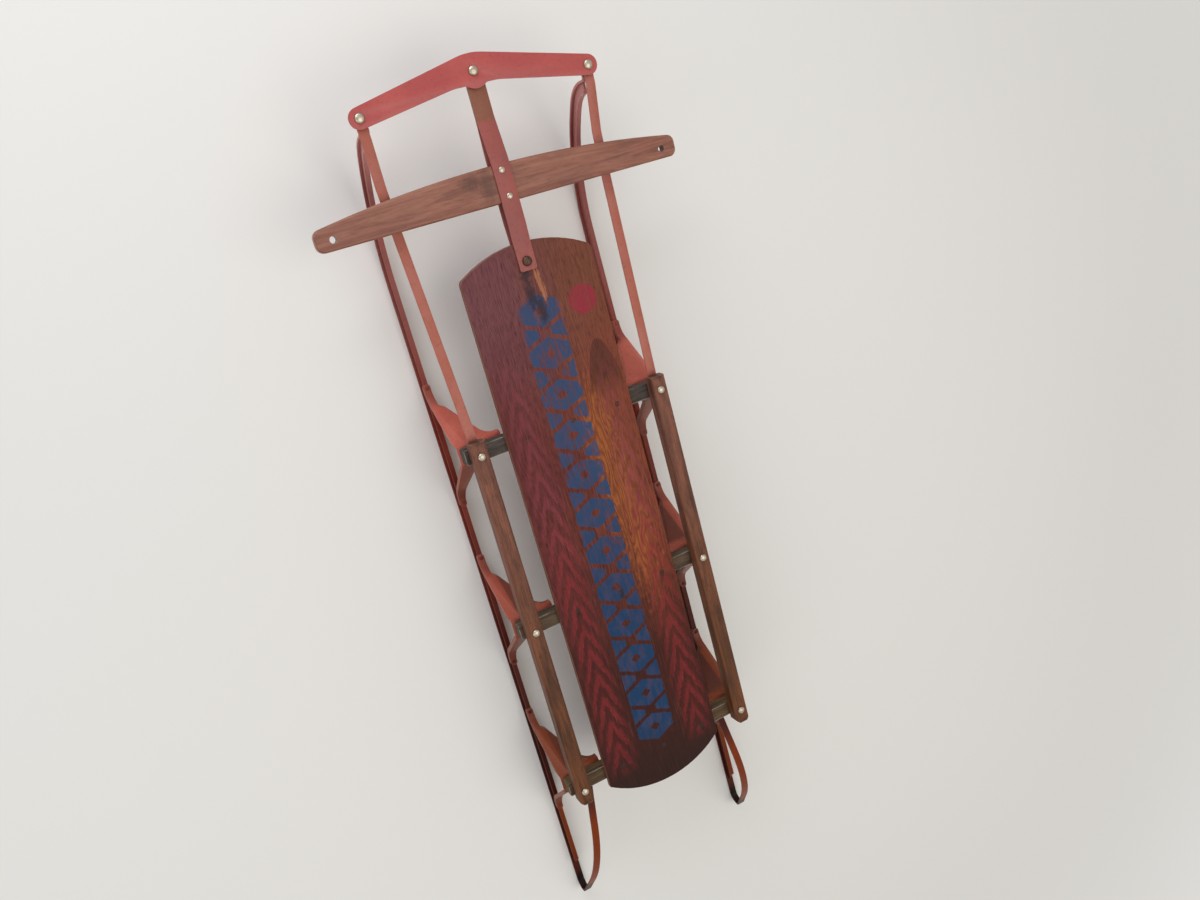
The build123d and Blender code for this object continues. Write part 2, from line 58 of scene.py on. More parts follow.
MM = 0.001
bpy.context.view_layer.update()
SIDES = (("left", -1), ("right", 1))
ROWS = ("front", "middle", "rear")
BENCH_Y_MM = (144.5, -115.5, -375.5)
BENCH_PITCH_MM = 260.0
DECK_TOP_MM = 129.0
SCREW_X_MM = (-66.0, 4.0, 72.0)

Colour = tuple[float, float, float, float]
Socket = bpy.types.NodeSocket
Material = bpy.types.Material
Object = bpy.types.Object
Mesh = bmesh.types.BMesh
Edge = bmesh.types.BMEdge


class Grain(Enum):
    """The way the wood's fibres run along a piece."""

    ALONG_Y = "y"
    ALONG_X = "x"


def linear(code: str) -> Colour:
    """Turns an sRGB hex colour into linear light.

    Args:
        code: Six hex digits after a hash.

    Returns:
        Red, green, blue and an alpha of one.
    """
    parts = [int(code[i : i + 2], 16) / 255 for i in (1, 3, 5)]
    light = [p / 12.92 if p <= 0.04045 else ((p + 0.055) / 1.055) ** 2.4 for p in parts]
    return (light[0], light[1], light[2], 1.0)


class Nodes:
    """A node tree under construction."""

    def __init__(self, tree: bpy.types.NodeTree) -> None:
        """Takes up a tree.

        Args:
            tree: The tree to add to.
        """
        self.tree = tree

    def add(self, kind: str, inputs: dict | None = None, **settings: object) -> bpy.types.Node:
        """Adds one node with its settings and links.

        Args:
            kind: Blender's name for the node.
            inputs: Socket name or number to a value, or to a socket to link from.
            settings: Fields of the node itself.

        Returns:
            The new node.
        """
        made = self.tree.nodes.new(kind)
        for key, value in settings.items():
            setattr(made, key, value)
        for key, value in (inputs or {}).items():
            if isinstance(value, Socket):
                self.tree.links.new(value, made.inputs[key])
            else:
                made.inputs[key].default_value = value
        return made

    def math(self, operation: str, *values: float | Socket) -> Socket:
        """One step of arithmetic."""
        return self.add("ShaderNodeMath", dict(enumerate(values)), operation=operation).outputs[0]

    def fold(self, operation: str, *values: float | Socket) -> Socket:
        """Joins some values by one operation, from the first on."""
        return reduce(lambda done, value: self.math(operation, done, value), values)

    def times(self, *values: float | Socket) -> Socket:
        """Product of some values."""
        return self.fold("MULTIPLY", *values)

    def plus(self, *values: float | Socket) -> Socket:
        """Sum of some values."""
        return self.fold("ADD", *values)

    def most(self, *values: float | Socket) -> Socket:
        """Greatest of some values."""
        return self.fold("MAXIMUM", *values)

    def seen(self) -> Socket:
        """1 for what the eye sees, straight or in metal, and 0 for the light that falls on things."""
        path = self.add("ShaderNodeLightPath").outputs
        return self.most(*(path[kind] for kind in ("Is Camera Ray", "Is Glossy Ray", "Is Transmission Ray")))


class Shader(Nodes):
    """A material under construction, with the surface point's x, y and z in millimetres."""

    def __init__(self, name: str) -> None:
        """Starts an empty material.

        Args:
            name: The material's name.
        """
        self.material = bpy.data.materials.new(name)
        self.material.use_nodes = True
        super().__init__(self.material.node_tree)
        self.tree.nodes.clear()
        self.place = self.add("ShaderNodeTexCoord").outputs["Object"]
        point = self.add("ShaderNodeVectorMath", {0: self.place, "Scale": 1 / MM}, operation="SCALE")
        self.x, self.y, self.z = self.add("ShaderNodeSeparateXYZ", {0: point.outputs[0]}).outputs

    def noise(
        self, size: Sequence[float], detail: float = 4.0, rough: float = 0.55, warp: float = 0.0
    ) -> Socket:
        """Soft noise whose grain has a real size.

        Args:
            size: Grain size in millimetres along X, Y and Z.
            detail: Octaves.
            rough: How strong the finer octaves are.
            warp: How far the noise bends itself.

        Returns:
            A value from 0 to 1, mostly near the middle.
        """
        scale = [1 / (s * MM) for s in size]
        grains = self.add("ShaderNodeMapping", {"Vector": self.place, "Scale": scale}).outputs[0]
        return self.add(
            "ShaderNodeTexNoise",
            {"Vector": grains, "Scale": 1.0, "Detail": detail, "Roughness": rough, "Distortion": warp},
        ).outputs["Fac"]

    def sway(
        self, size: Sequence[float], reach: float, detail: float = 4.0, rough: float = 0.55
    ) -> Socket:
        """Noise about 0 that goes half a reach to each side."""
        return self.times(self.math("SUBTRACT", self.noise(size, detail, rough), 0.5), reach)

    def step(self, value: Socket, low: float, high: float) -> Socket:
        """Smooth rise from 0 to 1 between two values, falling where low is above high."""
        return self.add(
            "ShaderNodeMapRange",
            {"Value": value, "From Min": low, "From Max": high},
            interpolation_type="SMOOTHSTEP",
        ).outputs[0]

    def along(self, front_mm: float, rear_mm: float) -> Socket:
        """Smooth rise from 0 at one place along the sled to 1 at a place behind it."""
        return self.step(self.y, front_mm, rear_mm)

    def grow(self, start: float | Socket, value: Socket, gain: float) -> Socket:
        """A start, plus a value times a gain."""
        return self.math("MULTIPLY_ADD", value, gain, start)

    def apart(self, value: Socket, middle: float) -> Socket:
        """How far a value is from a middle one."""
        return self.math("ABSOLUTE", self.math("SUBTRACT", value, middle))

    def cycle(self, value: Socket, pitch: float, start: float = 0.0) -> Socket:
        """Rises from 0 to 1 over each pitch."""
        return self.math("FRACT", self.math("DIVIDE", self.math("SUBTRACT", value, start), pitch))

    def mix(self, share: Socket, under: str | Socket, upper: str | Socket) -> Socket:
        """Lays one colour over another by a share. A plain colour is a hex code."""
        under, upper = (linear(tone) if isinstance(tone, str) else tone for tone in (under, upper))
        return self.add("ShaderNodeMix", {0: share, 6: under, 7: upper}, data_type="RGBA").outputs[2]

    def over(self, base: str | Socket, colour: str | Socket, *masks: float | Socket) -> Socket:
        """Lays a colour over a base by the product of some masks."""
        return self.mix(self.times(*masks), base, colour)

    def arris(self, reach_mm: float) -> Socket:
        """1 along sharp edges, falling to 0 a short way in."""
        corner = self.add("ShaderNodeBevel", {"Radius": reach_mm * MM}, samples=6).outputs[0]
        flat = self.add("ShaderNodeNewGeometry").outputs["Normal"]
        turn = self.add("ShaderNodeVectorMath", {0: corner, 1: flat}, operation="DOT_PRODUCT")
        return self.step(turn.outputs["Value"], 0.995, 0.86)

    def nook(self, reach_mm: float, open_share: float, shut_share: float) -> Socket:
        """0 on open faces, rising to 1 where little light from around gets in."""
        light = self.add("ShaderNodeAmbientOcclusion", {"Distance": reach_mm * MM}, samples=4)
        return self.step(light.outputs["AO"], open_share, shut_share)

    def spots(
        self, places: Iterable[tuple[float, float]], size: tuple[float, float], ragged: float
    ) -> Socket:
        """Distance to the nearest of some spots on the plan, roughened by noise.

        Args:
            places: X and Y of each spot in millimetres.
            size: Half width and half length of a spot in millimetres.
            ragged: How far noise moves the rim.

        Returns:
            0 at a spot's centre and 1 at its rim.
        """
        wide, deep = size
        scale = (1 / (wide * MM), 1 / (deep * MM), 0)
        reaches = []
        for at_x, at_y in places:
            shift = (-at_x / wide, -at_y / deep, 0)
            moved = self.add("ShaderNodeMapping", {"Vector": self.place, "Location": shift, "Scale": scale})
            reach = self.add("ShaderNodeVectorMath", {0: moved.outputs[0]}, operation="LENGTH")
            reaches.append(reach.outputs["Value"])
        return self.plus(self.fold("MINIMUM", *reaches), self.sway((4, 7, 4), 2 * ragged))

    def relief(self, fibre: Socket, pore: Socket) -> Socket:
        """Height of a wood's surface, with raised fibres and sunk pores."""
        return self.math("SUBTRACT", self.times(fibre, 0.6), self.times(pore, 0.8))

    def finish(
        self, base: Socket, rough: Socket, height: Socket, lift_mm: float, **fixed: float
    ) -> Material:
        """Joins colour, roughness and bump into one surface.

        Args:
            base: Base colour.
            rough: Roughness.
            height: Bump height.
            lift_mm: What a height of 1 stands for.
            fixed: Sockets of the surface that hold one value, with _ for a space.

        Returns:
            The finished material.
        """
        bump = self.add("ShaderNodeBump", {"Height": height, "Distance": lift_mm * MM, "Strength": 1.0})
        inputs = {"Base Color": base, "Roughness": rough, "Normal": bump.outputs[0]}
        inputs.update({key.replace("_", " "): value for key, value in fixed.items()})
        surface = self.add("ShaderNodeBsdfPrincipled", inputs)
        self.add("ShaderNodeOutputMaterial", {"Surface": surface.outputs[0]})
        return self.material


@dataclass(frozen=True)
class Enamel:
    """Baked red enamel on strip steel: satin, pale along the arrises from wear and a painted highlight,
    browner to the rear, partly as painted shade.
    """

    name: str
    paint: str
    faded: str
    # The rear tone is partly painted shade, where the light falls off behind.
    rear: str = "#8a4530"
    worn_edge_and_highlight: str = "#c58a78"
    bare: str = "#54342a"
    # The grime colour also darkens the nooks as painted shade.
    grime: str = "#34190f"
    rough: float = 0.4
    wear: float = 0.5
    edge_mm: float = 0.8
    chip_mm: float = 2.6
    nook_mm: float = 7.0
    shine: float = 0.25
    lift_mm: float = 0.04

    def body(self, s: Shader) -> Socket:
        """Makes the paint as it is before wear, darker to the rear partly as painted shade.

        Args:
            s: The shader to build in.

        Returns:
            Its colour.
        """
        patch = s.step(s.noise((55, 55, 55), detail=3), 0.35, 0.68)
        # Darker and browner towards the rear, partly as painted shade where the light falls off.
        return s.over(s.mix(patch, self.paint, self.faded), self.rear, s.along(160, -360))

    def build(self) -> Material:
        """Makes the enamel with its streaks, painted shade in the nooks, pale arrises that are partly worn
        and partly a painted highlight, and chips.

        Returns:
            The material.
        """
        s = Shader(self.name)
        streak = s.noise((5, 5, 5), detail=6, rough=0.7)
        base = s.over(self.body(s), self.grime, s.step(streak, 0.5, 0.78), 0.35)
        # Painted shade: the grime colour laid in the nooks, where little light from around gets in.
        base = s.over(base, self.grime, s.nook(self.nook_mm, 0.75, 0.25), 0.6)
        edge = s.arris(self.edge_mm)
        patchy = s.step(s.noise((9, 9, 9), detail=3), 0.3, 0.55)
        # Pale arrises: partly worn paint and partly a painted highlight where the edges catch the light.
        base = s.over(base, self.worn_edge_and_highlight, edge, patchy, 0.35 + 0.4 * self.wear)
        loss = s.grow(s.noise((self.chip_mm,) * 3, detail=5, rough=0.62), edge, 0.14)
        limit = 0.79 - 0.1 * self.wear
        chip = s.step(loss, limit, limit + 0.02)
        base = s.over(base, self.bare, chip)
        rough = s.grow(s.grow(self.rough - 0.1, streak, 0.2), chip, 0.25)
        height = s.math("SUBTRACT", s.times(s.noise((2.2, 2.2, 2.2), detail=2), 0.4), chip)
        return s.finish(base, rough, height, self.lift_mm, Specular_IOR_Level=self.shine)


@dataclass(frozen=True)
class KneeEnamel(Enamel):
    """Enamel on the knees: bright outer strips, painted shade on the webs and rear legs, dark feet."""

    web_shade: str = "#5c3128"
    rear_leg_shade: str = "#74412c"
    foot: str = "#6a3026"
    crest_x_mm: float = 141.0
    web_z_mm: tuple[float, float] = (97.0, 88.0)
    foot_z_mm: tuple[float, float] = (40.0, 21.0)

    def body(self, s: Shader) -> Socket:
        """Makes the paint with painted shade on the webs and rear legs, and dark feet."""
        # Painted shade: the inner webs of the middle and rear knees, which face away from the light, are
        # darker.
        inner = s.step(s.apart(s.x, 0), self.crest_x_mm + 2, self.crest_x_mm - 2)
        below = s.step(s.z, *self.web_z_mm)
        paint = s.over(super().body(s), self.web_shade, inner, below, s.along(50, 0), 0.75)
        # Painted shade: the legs behind each bench, which stand in the shade under it, are darker.
        row = s.cycle(s.y, BENCH_PITCH_MM, BENCH_Y_MM[0])
        paint = s.over(paint, self.rear_leg_shade, s.step(row, 0.5, 0.58), s.step(row, 0.97, 0.92), 0.7)
        return s.over(paint, self.foot, s.step(s.z, *self.foot_z_mm), 0.6)


@dataclass(frozen=True)
class RunnerEnamel(Enamel):
    """Enamel on the runners: a painted highlight on the curls, rusted orange on the tail loops, black at
    their ends.
    """

    curl_highlight: str = "#c68883"
    rust: str = "#80350c"
    tip: str = "#1c1210"

    def body(self, s: Shader) -> Socket:
        """Makes the paint with a painted highlight on the curls, a rusty loop and a black end."""
        # Painted highlight: the curls and the runner's front are paler towards the top, as if lit by the
        # window.
        pale = s.grow(0.28, s.step(s.z, 20, 100), 0.72)
        paint = s.over(super().body(s), self.curl_highlight, pale, s.step(s.y, 160, 360))
        speck = s.step(s.noise((6, 12, 6), detail=6, rough=0.75), 0.42, 0.62)
        bare = s.grow(s.times(speck, 0.16), s.step(s.z, 6, 20), 0.84)
        paint = s.over(paint, self.rust, bare, s.along(-410, -470))
        ragged = s.grow(s.y, s.noise((5, 5, 5)), 30)
        return s.over(paint, self.tip, s.step(ragged, -575, -592), 0.92)


@dataclass(frozen=True)
class StrapEnamel(Enamel):
    """Enamel on the centre straps, worn brown where they drop to the bumper."""

    worn: str = "#84553f"

    def body(self, s: Shader) -> Socket:
        """Makes the paint with its brown front stretch."""
        ragged = s.grow(s.y, s.noise((8, 8, 8)), 20)
        return s.over(super().body(s), self.worn, s.step(ragged, 552, 556), s.step(ragged, 600, 592), 0.85)


@dataclass(frozen=True)
class Plated:
    """Nickel-plated steel, dulled and pitted, as on old rivets and carriage bolts."""

    name: str
    metal: str
    tarnish: str
    rough: float = 0.34
    nook_mm: float = 2.0
    lift_mm: float = 0.05

    def build(self) -> Material:
        """Makes the plating.

        Returns:
            The material.
        """
        s = Shader(self.name)
        cloud = s.noise((2.2, 2.2, 2.2), detail=6, rough=0.7)
        stain = s.most(s.step(cloud, 0.52, 0.7), s.nook(self.nook_mm, 0.75, 0.35))
        base = s.mix(stain, self.metal, self.tarnish)
        return s.finish(base, s.grow(self.rough, stain, 0.3), cloud, self.lift_mm, Metallic=1.0)


@dataclass(frozen=True)
class Hardwood:
    """Hardwood under thin old varnish: speckled pores, pale arrises partly rubbed and partly a painted
    highlight, browner behind.

    Each of the marks is a dark stain: its x and y, half its width and half its length.
    """

    name: str
    light: str
    mid: str
    dark: str
    grain: Grain
    rear: tuple[str, str]
    dirt_and_shade: str = "#241611"
    worn_edge_and_highlight: str = "#a87850"
    band_mm: float = 7.0
    fibre_mm: float = 1.0
    pore_mm: float = 0.8
    arris_mm: float = 2.4
    nook_mm: float = 9.0
    lift_mm: float = 0.1
    rough: float = 0.45
    shine: float = 0.2
    worn: float = 0.6
    dirty: float = 0.4
    fibrous: float = 0.5
    porous: float = 0.5
    swirl: float = 0.7
    specks: float = 0.5
    marked: float = 0.7
    marks: tuple[tuple[float, float, float, float], ...] = ()

    def size(self, across: float, along: float) -> tuple[float, float, float]:
        """A pattern's size in millimetres, long along the fibres."""
        if self.grain is Grain.ALONG_X:
            return (along, across, across)
        return (across, along, across)

    def body(self, s: Shader) -> tuple[Socket, Socket, Socket]:
        """Makes the bare wood.

        Args:
            s: The shader to build in.

        Returns:
            Colour, fibre and pore masks.
        """
        bands = s.noise(self.size(self.band_mm, self.band_mm * 16), detail=5, rough=0.62, warp=self.swirl)
        band = s.step(bands, 0.34, 0.66)
        fibre = s.noise(self.size(self.fibre_mm, self.fibre_mm * 40), detail=3, rough=0.6)
        pore = s.step(s.noise(self.size(self.pore_mm, self.pore_mm * 12), detail=2), 0.56, 0.68)
        wood = s.mix(s.along(180, -330), s.mix(band, self.light, self.mid), s.mix(band, *self.rear))
        wood = s.over(wood, self.dark, s.step(fibre, 0.4, 0.72), self.fibrous)
        return s.over(wood, self.dirt_and_shade, pore, self.porous), fibre, pore

    def build(self) -> Material:
        """Makes the varnished wood with its dirt, stains, pale arrises that are partly rubbed and partly a
        painted highlight, and painted shade in the nooks.

        Returns:
            The material.
        """
        s = Shader(self.name)
        wood, fibre, pore = self.body(s)
        cloud = s.step(s.noise(self.size(16, 60), detail=6, rough=0.68), 0.46, 0.7)
        speck = s.step(s.noise(self.size(2.4, 5), rough=0.7), 0.6, 0.72)
        grime = s.most(s.times(cloud, self.dirty), s.times(speck, self.specks))
        for at_x, at_y, half_width, half_length in self.marks:
            mark = s.step(s.spots([(at_x, at_y)], (half_width, half_length), ragged=0.4), 1.15, 0.1)
            grime = s.most(grime, s.times(mark, self.marked))
        wood = s.over(wood, self.dirt_and_shade, grime)
        # Pale arrises: partly rubbed wood and partly a painted highlight where the edges catch the light.
        patchy = s.step(s.noise(self.size(9, 40)), 0.36, 0.56)
        wood = s.over(wood, self.worn_edge_and_highlight, s.arris(self.arris_mm), patchy, self.worn)
        # Painted shade: the dark colour laid in the nooks, where little light from around gets in.
        wood = s.over(wood, self.dirt_and_shade, s.nook(self.nook_mm, 0.7, 0.25), 0.6)
        rough = s.grow(self.rough - 0.05, fibre, 0.3)
        return s.finish(wood, rough, s.relief(fibre, pore), self.lift_mm, Specular_IOR_Level=self.shine)


@dataclass(frozen=True)
class StainedPly:
    """Thin printed plywood, its maroon stain walked off down to orange wood right of the middle.

    The stain has a left and a right tone in front, in the middle and behind; the cooler front tones are
    partly a painted window light and the darker rear ones partly painted shade.
    An ink given as a pair has a front and a rear tone, the rear one darker partly as painted shade.
    """

    name: str = "stained_plywood"
    stain: tuple[tuple[str, str], ...] = (
        ("#734247", "#774331"),
        ("#632827", "#824027"),
        ("#3d140e", "#40160e"),
    )
    ring: str = "#34150f"
    fibre_dark: str = "#270e0b"
    fibre_light: str = "#8f5541"
    pore: str = "#220f0e"
    orange: tuple[str, str] = ("#9f592a", "#7b3e1f")
    orange_fibre: str = "#5c2916"
    chevron_ink: tuple[str, str] = ("#90404a", "#8f2a2e")
    disc_ink: str = "#96253a"
    chain_ink: tuple[str, str] = ("#29466a", "#0a395f")
    rubbed_ink: str = "#48405a"
    dirt_and_shade: str = "#22120c"
    smear: str = "#28212a"
    scraped: str = "#a5694a"
    worn_edge_and_highlight: str = "#a88f88"
    plies: tuple[str, str] = ("#6e4334", "#9b6d55")
    underside: str = "#4b2a21"
    rough: float = 0.34
    shine: float = 0.15
    lift_mm: float = 0.1
    arris_mm: float = 1.6
    ply_mm: float = 3.2
    row_x_mm: float = 66.0
    chevron_mm: float = 39.2
    chain_x_mm: float = -1.5
    hexagon_mm: float = 58.0
    print_mm: tuple[float, float] = (322.0, -368.0)
    disc_mm: tuple[float, float] = (62.0, 297.0)

    def build(self) -> Material:
        """Makes the deck's finish, printed on the top alone.

        Returns:
            The material.
        """
        s = Shader(self.name)
        base, fibre, pore = self.wood(s)
        # The inks' rear tones are darker, partly as painted shade.
        base = s.over(base, s.mix(s.along(80, -100), *self.chevron_ink), self.chevrons(s))
        base = s.over(base, self.disc_ink, self.disc(s))
        thin = s.step(s.noise((9, 26, 9), detail=5), 0.4, 0.68)
        ink = s.over(s.mix(s.along(160, -160), *self.chain_ink), self.rubbed_ink, thin, 0.6)
        base = s.over(base, ink, self.chain(s, fibre))
        # Stains, and the tail's darkening, which is partly painted shade.
        base = s.over(base, self.dirt_and_shade, self.grime(s))
        smear = s.spots([(-7, 352), (-6, 322), (3, 300)], (9, 26), ragged=0.8)
        base = s.over(base, self.smear, s.step(smear, 1.1, 0.3), 0.75)
        base = s.over(base, self.scraped, self.scrape(s))
        # Painted highlight over some wear: the pale arris along the front left, where the window light
        # catches the edge.
        window_lit_edge = s.times(s.step(s.x, 20, -60), s.step(s.y, -100, 200))
        base = s.over(base, self.worn_edge_and_highlight, s.arris(self.arris_mm), window_lit_edge, 0.7)
        base = s.mix(s.step(s.z, DECK_TOP_MM - 0.8, DECK_TOP_MM - 0.3), self.edge(s), base)
        rough = s.grow(self.rough, fibre, 0.3)
        return s.finish(base, rough, s.relief(fibre, pore), self.lift_mm, Specular_IOR_Level=self.shine)

    def wood(self, s: Shader) -> tuple[Socket, Socket, Socket]:
        """The stained face veneer, with the rotary cut's long figure.

        Args:
            s: The shader to build in.

        Returns:
            Colour, fibre and pore masks.
        """
        cloud = s.sway((60, 160, 60), 160)
        right = s.step(s.plus(s.x, cloud), -60, 75)
        place = s.plus(s.y, cloud)
        # Partly painted light: the front tones are cooler, as if lit by the window, and the rear tones
        # darker, as painted shade.
        front, middle, rear = (s.mix(right, *tones) for tones in self.stain)
        base = s.over(front, middle, s.step(place, 340, 120))
        base = s.over(base, rear, s.step(place, 0, -260))
        figure = s.noise((30, 170, 30), detail=2, rough=0.45, warp=0.5)
        ring = s.step(s.math("PINGPONG", s.times(figure, 19), 0.5), 0.1, 0.5)
        base = s.over(base, self.ring, ring, s.grow(0.16, s.along(260, 0), 0.26))
        fibre = s.noise((1.3, 44, 4), rough=0.68)
        coarse = s.grow(0.34, s.along(260, -60), 0.28)
        base = s.over(base, self.fibre_dark, s.step(fibre, 0.46, 0.7), coarse)
        base = s.over(base, self.fibre_light, s.step(fibre, 0.46, 0.26), 0.3)
        pore = s.step(s.noise((0.9, 15, 3), detail=2), 0.55, 0.66)
        base = s.over(base, self.pore, pore, 0.5)
        orange = s.over(s.mix(ring, *self.orange), self.orange_fibre, s.step(fibre, 0.5, 0.72), 0.6)
        return s.over(base, orange, self.worn_patch(s)), fibre, pore

    def worn_patch(self, s: Shader) -> Socket:
        """Where the maroon stain is walked off, mostly right of the middle."""
        spot = s.spots([(44, 20), (54, -60), (36, 110)], (30, 95), ragged=0.9)
        streak = s.noise((12, 150, 12), detail=5, rough=0.65)
        return s.times(s.step(spot, 1.2, 0.1), s.step(streak, 0.28, 0.54))

    def chevrons(self, s: Shader) -> Socket:
        """A row of feathered chevrons down each long side, pointing forwards, stronger behind."""
        side = s.apart(s.apart(s.x, 0), self.row_x_mm)
        run = s.plus(s.grow(s.y, side, 2.5), s.sway((18, 26, 18), 50, detail=8, rough=0.7))
        group = s.cycle(run, self.chevron_mm)
        stroke = s.step(s.apart(s.cycle(run, self.chevron_mm / 4), 0.5), 0.42, 0.2)
        heavy = s.grow(0.15, s.step(group, 0.66, 0.5), 0.85)
        kept = s.step(s.noise((2.4, 12, 2.4), detail=6, rough=0.8), 0.4, 0.58)
        streaks = s.times(stroke, heavy, s.step(side, 30, 12), kept, s.along(200, 0))
        broad = s.step(s.apart(group, 0.3), 0.4, 0.05)
        tint = s.times(s.step(side, 34, 4), s.grow(0.12, broad, 0.5))
        ends = s.times(s.along(270, 200), s.step(s.y, -400, -375))
        return s.times(s.most(streaks, tint), ends, s.grow(0.55, s.along(200, -40), 0.2))

    def chain(self, s: Shader, fibre: Socket) -> Socket:
        """A plain chain of broad hexagons and corner pieces down the middle, rubbed thin in front."""
        front, rear = self.print_mm
        ragged = s.sway((4, 12, 4), 5, detail=5)
        along = s.times(s.apart(s.cycle(s.y, self.hexagon_mm, rear), 0.5), self.hexagon_mm)
        across = s.apart(s.x, self.chain_x_mm)
        slant = s.plus(s.grow(along, across, 0.45), ragged)
        inner = s.times(s.step(s.y, 306, 300), s.step(s.y, -345, -339))
        corner = s.times(s.step(slant, 28.4, 29.4), s.step(across, 8, 10), inner)
        eye = s.step(s.plus(s.grow(across, along, 1.2), ragged), 7, 9)
        shape = s.most(s.times(s.step(slant, 22.8, 21.8), eye), corner)
        width = s.step(s.plus(across, ragged), 30, 29)
        ends = s.times(s.step(s.y, front, front - 1), s.step(s.y, rear, rear + 1))
        loss = s.grow(s.noise((7, 46, 7), detail=6, rough=0.72), s.y, 0.22 * MM)
        thin = s.grow(0.97, s.step(fibre, 0.5, 0.75), -0.5)
        return s.times(shape, width, ends, s.step(loss, 0.72, 0.53), thin)

    def disc(self, s: Shader) -> Socket:
        """A plain faded disc at the right in front."""
        spot = s.spots([self.disc_mm], (20, 20), ragged=0.04)
        fade = s.step(s.noise((8, 40, 8), detail=5), 0.3, 0.62)
        return s.times(s.step(spot, 1.03, 0.95), s.grow(0.9, fade, -0.3))

    def grime(self, s: Shader) -> Socket:
        """Dark stains at the two rear rows of screws, a dull arch at the right, and a darkening at the tail
        that is partly painted shade.
        """
        screws = [(x, y - 4) for x in SCREW_X_MM for y in BENCH_Y_MM[1:]]
        rust = s.times(s.step(s.spots(screws, (5, 13), ragged=1.0), 1.0, 0.15), 0.7)
        side = s.apart(s.x, self.row_x_mm)
        bow = s.grow(s.y, s.times(side, side), 0.095)
        arch = s.times(s.step(bow, 243, 239), s.step(side, 26, 24), s.step(s.y, 150, 200), 0.48)
        ragged = s.grow(s.y, s.noise((14, 30, 14), detail=5), 60)
        # The tail's darkening is partly painted shade where the light falls off behind.
        return s.most(rust, arch, s.times(s.step(ragged, -290, -390), 0.66))

    def scrape(self, s: Shader) -> Socket:
        """Bare wood where the strap's end has scraped."""
        spot = s.spots([(9, 343), (12, 324)], (3.9, 17), ragged=0.6)
        return s.times(s.step(spot, 1.0, 0.8), s.step(s.noise((1.4, 34, 3)), 0.36, 0.52))

    def edge(self, s: Shader) -> Socket:
        """The bare edge of the plies and the plain underside."""
        plies = s.mix(s.step(s.apart(s.cycle(s.z, self.ply_mm), 0.5), 0.22, 0.28), *self.plies)
        streak = s.step(s.noise((4, 110, 3), detail=6, rough=0.65), 0.4, 0.7)
        return s.over(plies, self.underside, streak, 0.7)


@dataclass(frozen=True)
class Floor:
    """Plain pale matt floor that goes over into the backdrop away from the sled."""

    name: str = "pale_floor"
    tones: tuple[str, str] = ("#eeece8", "#eae8e4")
    backdrop: str = "#dfddd9"
    rough: float = 0.85
    fade_m: tuple[float, float] = (1.1, 2.2)

    def build(self) -> Material:
        """Makes the floor's surface.

        Returns:
            The material.
        """
        s = Shader(self.name)
        tone = s.mix(s.noise((900, 900, 900), detail=1), *self.tones)
        floor = s.add("ShaderNodeBsdfPrincipled", {"Base Color": tone, "Roughness": self.rough})
        far = s.add("ShaderNodeVectorMath", {0: s.place}, operation="LENGTH").outputs["Value"]
        glow = s.add("ShaderNodeEmission", {"Color": linear(self.backdrop)})
        share = s.times(s.step(far, *self.fade_m), s.seen())
        both = s.add("ShaderNodeMixShader", {0: share, 1: floor.outputs[0], 2: glow.outputs[0]})
        s.add("ShaderNodeOutputMaterial", {"Surface": both.outputs[0]})
        return s.material


@dataclass(frozen=True)
class Finishes:
    """Every finish of the sled, made once."""

    deck: Material
    rail: Material
    bench: Material
    bar: Material
    knee: Material
    runner: Material
    strap: Material
    strut: Material
    bumper: Material
    nickel: Material
    dark: Material
    screw: Material


def make_rail() -> Material:
    """Makes oiled ash, browned with age: speckled grain, dark ends, pale arrises and one nail hole."""
    ends = [(side * 136, y, *half) for y, half in ((-398, (16, 12)), (166, (14, 9))) for _, side in SIDES]
    nail_hole = (-141.3, -151, 2, 2)
    return Hardwood(
        "aged_ash_rail",
        "#8c5947",
        "#6d4336",
        "#452a20",
        Grain.ALONG_Y,
        rear=("#764525", "#50301b"),
        rough=0.4,
        fibrous=0.38,
        porous=0.4,
        dirty=0.5,
        worn=0.75,
        marks=(*ends, nail_hole),
    ).build()


def make_bench() -> Material:
    """Makes bare weathered ash: grey-brown in front, olive-brown behind, with pale arrises."""
    return Hardwood(
        "weathered_ash_bench",
        "#5f5450",
        "#483f39",
        "#2e2723",
        Grain.ALONG_X,
        rear=("#715a3e", "#5a4630"),
        rough=0.6,
        worn_edge_and_highlight="#b3aba4",
        dirt_and_shade="#1f1815",
        dirty=0.35,
        worn=0.85,
    ).build()


def make_bar() -> Material:
    """Makes varnished ash, glossy and clouded, handled dark beside the strap."""
    return Hardwood(
        "varnished_ash_bar",
        "#9e6854",
        "#7f4a3c",
        "#633b2d",
        Grain.ALONG_X,
        rear=("#9e6854", "#7f4a3c"),
        band_mm=14.0,
        rough=0.26,
        dirt_and_shade="#3c241c",
        dirty=0.3,
        worn=0.5,
        fibrous=0.16,
        porous=0.15,
        swirl=2.2,
        specks=0.15,
        marked=0.6,
        shine=0.35,
        marks=((-24, 468, 16, 30), (-44, 476, 22, 14)),
    ).build()


